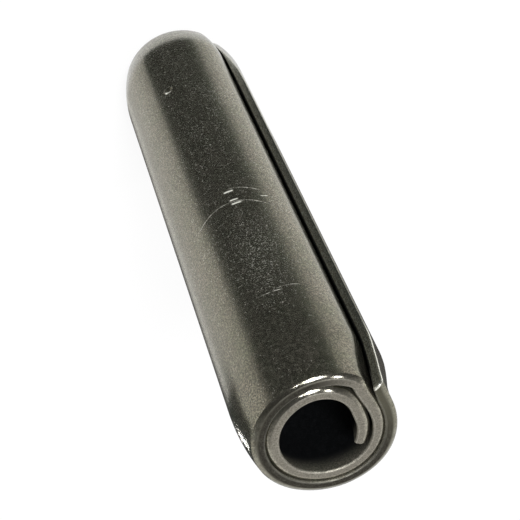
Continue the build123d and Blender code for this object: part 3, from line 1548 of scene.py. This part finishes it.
@dataclass(frozen=True)
class Lamp:
    """A round soft lamp aimed at the pin's upper end, and placed round what it is aimed at."""

    name: str
    azimuth: float
    elevation: float
    distance: float
    size: float
    power: float
    aim: tuple[float, float, float] = (0.0, 0.0, 48.0)

    def build(self) -> None:
        """Makes the lamp: aim + distance (cos e cos a, cos e sin a, sin e), unseen by the camera."""
        data = bpy.data.lights.new(self.name, "AREA")
        data.shape, data.size, data.energy = "DISK", self.size * MM, self.power
        made = bpy.data.objects.new(self.name, data)
        rise = math.radians(self.elevation)
        way = np.array([*polar(math.cos(rise), self.azimuth), math.sin(rise)])
        made.location = (np.array(self.aim) + way * self.distance) * MM
        made.rotation_euler = (math.radians(90.0 - self.elevation), 0.0, math.radians(self.azimuth + 90.0))
        made.visible_camera = False
        bpy.context.collection.objects.link(made)


@dataclass(frozen=True)
class Camera:
    """The camera: its place, its turn about X, Y and Z, and its lens."""

    place: tuple[float, float, float] = (-23.6262, 58.3905, 115.9029)
    turn: tuple[float, float, float] = (-34.18345, -13.20646, 3.81998)
    lens: float = 100.4942
    sensor: float = 36.0
    nearest: float = 10.0
    farthest: float = 20000.0

    def build(self) -> None:
        """Makes the camera, and makes it the scene's own."""
        data = bpy.data.cameras.new("camera")
        data.sensor_width, data.lens = self.sensor, self.lens
        data.clip_start, data.clip_end = self.nearest * MM, self.farthest * MM
        made = bpy.data.objects.new("camera", data)
        made.location = [value * MM for value in self.place]
        made.rotation_euler = [math.radians(value) for value in self.turn]
        bpy.context.collection.objects.link(made)
        bpy.context.scene.camera = made


@dataclass(frozen=True)
class Studio:
    """Floor, soft surround, cards, lamps and camera.

    The cards are the dark in front of the pin, the greys at its left and right, the dark behind it, and
    a shade that its upper swage mirrors at the left. The lamps are a large one over the onlooker's
    shoulder, smaller ones beside it, and one low on the far side, whose glint the swage shows.
    """

    ambient: float = 0.80
    floor: Floor = Floor()
    tent: Tent = Tent()
    camera: Camera = Camera()
    cards: tuple[ReflectorCard, ...] = (
        ReflectorCard("front_card", reach=330.0, rise=330.0, tint=DARK_TINT, tones=(
            (139.0, 0.20), (136.5, 0.07), (128.0, 0.045), (118.0, 0.040), (108.0, 0.050), (96.0, 0.060),
            (88.0, 0.15), (84.1, 0.30))),
        ReflectorCard("left_card", reach=500.0, tones=(
            (188.0, 0.15), (185.0, 0.45), (183.0, 1.30), (181.0, 1.45), (178.5, 0.95), (175.0, 0.70),
            (168.0, 0.78), (160.0, 0.88), (152.0, 0.86), (146.0, 0.80), (142.0, 0.66), (139.1, 0.50))),
        ReflectorCard("right_card", reach=500.0, tones=(
            (84.0, 0.38), (80.0, 0.70), (74.0, 0.80), (70.0, 1.35), (60.0, 1.25), (50.0, 1.10))),
        ReflectorCard("back_card", reach=80.0, lies_at=0.45, tones=((188.0, 0.10), (234.0, 0.10))),
        ReflectorCard("corner_shade", reach=90.0, clear_radius=42.0, lies_at=0.55, tint=DARK_TINT,
                      tones=((204.0, 0.06), (162.5, 0.06))),
    )
    # azimuth, elevation, distance, size, power
    lamps: tuple[Lamp, ...] = (
        Lamp("shoulder_lamp", 96.0, 61.0, 450.0, 118.0, 1.4),
        Lamp("side_lamp", 41.5, 61.0, 450.0, 50.0, 0.20),
        Lamp("near_lamp", 79.0, 61.0, 450.0, 30.0, 0.08),
        Lamp("left_lamp", 127.0, 61.0, 450.0, 30.0, 0.06),
        Lamp("corner_lamp", 249.5, -39.5, 71.0, 3.4, 0.0008),
    )

    def surround(self) -> None:
        """A plain white world: full white where it is seen, a little less as light."""
        world = bpy.data.worlds.new("studio")
        bpy.context.scene.world = world
        world.use_nodes = True
        nodes = Nodes(world.node_tree)
        strength = nodes.raised(self.ambient, background_rays(nodes), 1.0 - self.ambient)
        white = nodes.add("ShaderNodeBackground", {"Color": WHITE, "Strength": strength})
        nodes.add("ShaderNodeOutputWorld", {"Surface": white.outputs[0]})

    def build(self) -> None:
        """Makes everything."""
        bpy.context.scene.view_settings.view_transform = "Standard"
        self.surround()
        self.camera.build()
        self.floor.build()
        self.tent.build()
        [card.build() for card in self.cards]
        for lamp in self.lamps:
            lamp.build()
        LOG.info("studio: %d cards, %d lamps", len(self.cards), len(self.lamps))


# ---- putting it together -------------------------------------------------------------------------


def main() -> None:
    """Builds the pin and the studio."""
    logging.basicConfig(level=logging.INFO, format="%(name)s: %(message)s")
    SpringPin().build()
    Studio().build()


if __name__ == "__main__":
    main()
